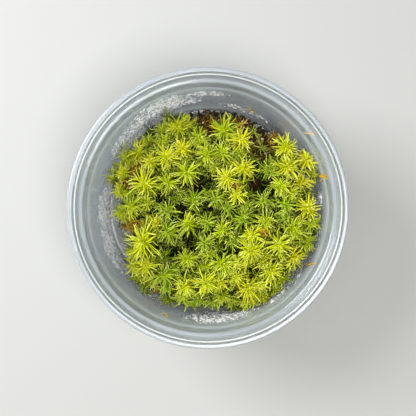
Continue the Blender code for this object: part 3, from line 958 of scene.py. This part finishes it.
def lay_litter(seed):
    """Dead leaves lying on the peat, as a group for joined."""
    rng = random.Random(seed)
    rows = []
    for cx, cy, rx, ry, lift, count, warm in LITTER:
        for _ in range(count):
            turn, reach = rng.uniform(0, math.tau), math.sqrt(rng.random())
            x, y = cx + rx * reach * math.cos(turn), cy + ry * reach * math.sin(turn)
            way = rng.uniform(0, math.tau)
            row = {
                "root": (x, y, ground(x, y) + rng.uniform(0.2, lift)),
                "axis": (rng.gauss(0, 0.2), rng.gauss(0, 0.2), 1.0),
                "out": (math.cos(way), math.sin(way), 0.0),
                "rise": math.radians(rng.uniform(-10, 40)),
                "arch": math.radians(rng.uniform(0, 80)),
                "hook": math.radians(rng.uniform(-60, 60)),
                "sweep": rng.gauss(0, 0.9),
                "kink": rng.gauss(0, 0.3),
                "twist": rng.gauss(0, 2.0),
                "length": rng.uniform(2.0, 5.5),
                "width": rng.uniform(0.35, 0.75),
                "tone": min(1.0, max(0.0, rng.gauss(warm, 0.22))),
                "pale": rng.random(),
                "age_and_shade": 1.0,
            }
            rows.append(row)
    return leaf_group(rows)


# %% [markdown]
# A dead moss leaf has lost its green and keeps the brown of its cell walls: dark where it is
# soaked, straw to orange where it has dried. It is dull, and thin enough to let some light through.

# %% Litter: material and piece
dead_leaf, shader = new_material("dead moss leaf")
tone = node(dead_leaf, "Attribute", attribute_name="tone").outputs["Fac"]
browns = [(0.0, "241808"), (0.3, "644812"), (0.6, "AE8616"), (0.85, "D4A41A"), (1.0, "E4BC5C")]
set_inputs(
    dead_leaf,
    shader,
    {
        "Base Color": node(dead_leaf, "ValToRGB", {"Fac": tone}, browns),
        "Roughness": 0.7,
        "Specular IOR Level": 0.2,
        "Subsurface Weight": 0.2,
        "Subsurface Radius": (1.0, 0.7, 0.3),
        "Subsurface Scale": 0.0004,
    },
)
finish_piece(joined("dead_leaves", [lay_litter(7)]), dead_leaf)

# %% [markdown]
# Loose grains all come from one pattern, a small ball with few faces. Each copy is squashed and
# stretched its own way, so no two look the same.


# %% Crumbs and grains: the pattern
def model_ball():
    """A ball of radius 1 with twenty faces."""
    deselect()
    bpy.ops.mesh.primitive_ico_sphere_add(subdivisions=1, radius=1.0)
    return taken_apart(bpy.context.object)


BALL_POINTS, BALL_FACES = model_ball()
print(f"ball pattern: {len(BALL_POINTS)} points, {len(BALL_FACES)} faces")


def lumps(places, low, high, seed):
    """Uneven balls at places in mm, with radii between low and high, as a group for joined."""
    rng = np.random.default_rng(seed)
    copies = []
    for place in places:
        radius = low + (high - low) * rng.random() ** 2
        uneven = BALL_POINTS * rng.uniform(0.7, 1.3, (len(BALL_POINTS), 1))
        copies.append(np.array(place) + uneven * radius * rng.uniform(0.7, 1.2, 3))
    return np.array(copies), BALL_FACES, PLAIN


# %% [markdown]
# Crumbs of peat have rolled off the lump at the back and on the right, and lie between it and the
# wall, a few of them a little way up. They are thickest in the middle of that stretch.

# %% Crumbs of peat: scatter
CRUMBS = 520
CRUMB_RING = (38.0, 46.6)  # radii in mm between which crumbs lie
CRUMB_ARC = (38.0, 112.0)  # bearings in degrees between which crumbs lie
CLIMB_FROM = 45.4  # radius in mm past which they lie up the wall's foot
rng = random.Random(61)
places = []
for _ in range(CRUMBS):
    turn, reach = math.radians(rng.triangular(*CRUMB_ARC)), rng.uniform(*CRUMB_RING)
    climb = max(0.0, reach - CLIMB_FROM) * 0.9
    x, y = reach * math.cos(turn), reach * math.sin(turn)
    places.append((x, y, max(ground(x, y), 2.3) + climb))
peat_crumbs = joined("peat_crumbs", [lumps(places, 0.3, 1.0, 62)])
finish_piece(peat_crumbs, peat_material)

# %% [markdown]
# Grains of grit, the sand in the peat, show pale where the peat is open. They are clean quartz,
# so they are speckled from tan to almost white and a little shiny.

# %% Grains of grit: material and piece
GRAIN_LIFT = 2.6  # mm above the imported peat, to clear its clods and the litter
GRAINS = [(-6.3, 37.9), (-2.3, 39.1), (17.4, 36.3), (-5.6, 38.4), (5.0, 40.6), (16.2, 37.7)]
GRAINS += [(x, y) for x, y in zip(np.linspace(19, 32, 14), 27 + 5 * np.sin(np.arange(14) * 2.3))]
grit, shader = new_material("grains of grit")
place = node(grit, "TexCoord").outputs["Object"]
speckle = node(grit, "TexNoise", {"Vector": place, "Scale": GRAIN_SCALE})
tones = node(grit, "ValToRGB", {"Fac": speckle}, [(0.35, "8A6A4A"), (0.65, "E8D2C0")])
set_inputs(grit, shader, {"Base Color": tones, "Roughness": 0.5})
places = [(x, y, ground(x, y) + GRAIN_LIFT) for x, y in GRAINS]
finish_piece(joined("grit", [lumps(places, 0.45, 0.8, 63)]), grit)

# %% [markdown]
# Three dead leaves were lifted out with the water and stuck to the tub: a tan strand on the upper
# wall, an orange twist with side shoots on the right, and a rust-coloured one below it. Each is
# drawn as a strand along the wall, by bearing and height, and swept with a five-sided section
# that thins to its ends.

# %% Loose leaves: strands on the wall
STRAND_GAP = 0.4  # how far in mm a strand's middle stays off the wall


def wall_point(bearing, height, gap):
    """A point in mm on the tub's inner wall, held off it by a gap."""
    reach = np.interp(height, INSIDE_Z, INSIDE_RADIUS) - gap
    turn = math.radians(bearing)
    return np.array([reach * math.cos(turn), reach * math.sin(turn), height])


def wall_strand(stops, radius):
    """Points of one strand through (bearing, height) stops, thickest in its middle."""
    past_end = 2 * np.array(stops[-1]) - np.array(stops[-2])
    bearings, heights = np.array([*stops, past_end]).T
    shares = [*np.linspace(0, 1, len(stops)), 1.1]
    turns = np.arange(STEM_SIDES) * math.tau / STEM_SIDES
    points = []
    for ring in range(STEM_RINGS):
        share = ring / (STEM_RINGS - 1)
        here, ahead = (
            wall_point(np.interp(at, shares, bearings), np.interp(at, shares, heights), STRAND_GAP)
            for at in (share, share + 0.02)
        )
        along = Vector(ahead - here).normalized()
        off = Vector((-here[0], -here[1], 0)).normalized()
        across = np.array(along.cross(off))
        thick = radius * (0.25 + 0.75 * math.sin(math.pi * (0.08 + 0.84 * share)))
        ring_points = np.cos(turns)[:, None] * across + 0.5 * np.sin(turns)[:, None] * np.array(off)
        points.append(here + ring_points * thick)
    return np.concatenate(points)


def loose_leaf(name, strands, tone, cad_node):
    """A loose leaf made of one or more strands, given as stops and a radius in mm."""
    copies = np.array([wall_strand(stops, radius) for stops, radius in strands])
    told = {**PLAIN, "tone": tone, "age_and_shade": 1.0}
    piece = joined(name, [(copies, STEM_FACES, told)])
    finish_piece(piece, dead_leaf, [cad_node])


TAN = [([(33.6, 40.9), (35.6, 40.7), (37.2, 39.4), (38.4, 36.0)], 0.32)]
TWIST = [
    ([(16.6, 26.0), (15.8, 29.0), (14.8, 33.6), (13.4, 39.2)], 0.5),
    ([(15.4, 29.0), (16.4, 32.4), (16.0, 36.0)], 0.36),
    ([(14.8, 31.4), (13.6, 30.4), (13.2, 26.4)], 0.32),
    ([(14.4, 34.4), (15.6, 36.2), (15.2, 39.0)], 0.36),
]
RUST = [
    ([(-30.8, 23.2), (-29.6, 27.0), (-28.2, 30.6), (-27.0, 35.0)], 0.34),
    ([(-29.6, 26.4), (-28.8, 30.4)], 0.6),
]
loose_leaf("tan_strand", TAN, 0.95, "loose_leaf_tan")
loose_leaf("orange_twist", TWIST, 0.78, "loose_leaf_orange")
loose_leaf("rust_strand", RUST, 0.72, "loose_leaf_rust")

# %% [markdown]
# The water also left crumbs of dead leaf on the wall and on the ledge. They are short strands of
# the same kind, joined in one piece.

# %% Flecks: crumbs on the wall and the ledge
# Bearing (degrees), height (mm), length along the wall (degrees), rise (mm), radius (mm), tone.
FLECKS = [
    (151.5, 40.8, 2.6, 0.0, 0.3, 0.45), (153.0, 40.8, 1.0, 0.0, 0.34, 0.4),
    (160.0, 40.8, 2.0, 0.0, 0.26, 0.42), (248.0, 25.0, 1.6, 4.0, 0.5, 0.85),
    (246.4, 26.5, 1.2, -2.0, 0.4, 0.9), (240.0, 40.8, 1.6, 0.0, 0.3, 0.4),
    (238.6, 26.0, 0.8, 1.5, 0.26, 0.42), (239.8, 20.0, 0.7, 1.2, 0.28, 0.45),
    (259.6, 22.0, 0.9, 0.8, 0.26, 0.4), (212.0, 30.0, 0.5, 2.0, 0.24, 0.5),
    (64.0, 10.0, 3.4, 5.0, 0.34, 0.8), (66.8, 12.0, 1.6, 3.0, 0.34, 0.85),
    (63.0, 14.0, 2.6, -3.0, 0.26, 0.8), (52.0, 40.8, 1.4, 0.0, 0.22, 0.7),
    (101.0, 40.8, 1.0, 0.0, 0.22, 0.5), (118.0, 40.8, 1.2, 0.0, 0.22, 0.55),
    (185.0, 40.8, 0.8, 0.0, 0.2, 0.6), (330.0, 22.0, 1.6, 3.0, 0.22, 0.75),
]
strands = [
    wall_strand([(turn, z), (turn + along * 0.6, z + rise * 0.3), (turn + along, z + rise)], size)
    for turn, z, along, rise, size, _ in FLECKS
]
told = {**PLAIN, "tone": np.array([fleck[5] for fleck in FLECKS])[:, None], "age_and_shade": 1.0}
wall_crumbs = joined("wall_crumbs", [(np.array(strands), STEM_FACES, told)])
finish_piece(wall_crumbs, dead_leaf)

# %% [markdown]
# Condensation: small domes of water stand on the misted wall. One dome is modelled, a sphere of
# few faces cut off flat, and copied at many sizes, the small ones being by far the most
# common. Each copy is turned to stand on the wall where it sits.

# %% Drops: the pattern
DROP_HEIGHT = 0.6  # a drop's height as a share of its radius


def model_drop():
    """A water dome of radius 1 standing on the plane z = 0."""
    deselect()
    bpy.ops.mesh.primitive_ico_sphere_add(subdivisions=2, radius=1.0)
    pattern = bpy.context.object
    bpy.ops.object.mode_set(mode="EDIT")
    bpy.ops.mesh.select_all(action="SELECT")
    bpy.ops.mesh.bisect(
        plane_co=(0, 0, 0.01), plane_no=(0, 0, 1), use_fill=True, clear_inner=True
    )
    bpy.ops.mesh.select_all(action="SELECT")
    bpy.ops.transform.resize(value=(1, 1, DROP_HEIGHT), center_override=(0, 0, 0))
    bpy.ops.mesh.normals_make_consistent(inside=False)
    bpy.ops.object.mode_set(mode="OBJECT")
    return taken_apart(pattern)


DROP_POINTS, DROP_FACES = model_drop()
print(f"drop pattern: {len(DROP_POINTS)} points, {len(DROP_FACES)} faces")

# %% [markdown]
# Water has a lower index than plastic, 1.333, and a smooth surface: that gives each drop its
# one sharp spark of light. Most of the real drops are too fine to see one by one and scatter light
# like a mist, so these coarser ones are a third clear and the rest white; the white also paints
# them brighter than the wall, as a painted sparkle.

# %% Drops: scatter and material
TRIES = 9000
FINEST, COARSER = 0.16, 0.62  # mm: the smallest radius, and how much the largest adds to it


def settle_drops(seed):
    """Drops on the misted wall, as a group for joined."""
    rng = random.Random(seed)
    copies = []
    for _ in range(TRIES):
        bearing, height = rng.uniform(0, 360), rng.uniform(3.0, 31.0)
        if rng.random() > mist_at(bearing, height) ** 1.5:
            continue
        radius = FINEST + COARSER * rng.random() ** 2.4
        here = wall_point(bearing, height, 0.03)
        out = Vector((-here[0], -here[1], 3.0)).normalized()
        turned = out.to_track_quat("Z", "Y").to_matrix()
        stretch = np.array([rng.uniform(0.8, 1.25), rng.uniform(0.8, 1.25), 1.0])
        copies.append(here + (DROP_POINTS * stretch * radius) @ np.array(turned).T)
    print(f"drops: {len(copies)}")
    return np.array(copies), DROP_FACES, PLAIN


water, shader = new_material("water drop")
# The white share is partly mist-like scattering and partly a painted sparkle on the drops.
clear = {"Roughness": 0.05, "IOR": 1.333, "Transmission Weight": 0.35}
set_inputs(water, shader, {"Base Color": colour("FFFFFF"), **clear})
finish_piece(joined("water_drops", [settle_drops(23)]), water)
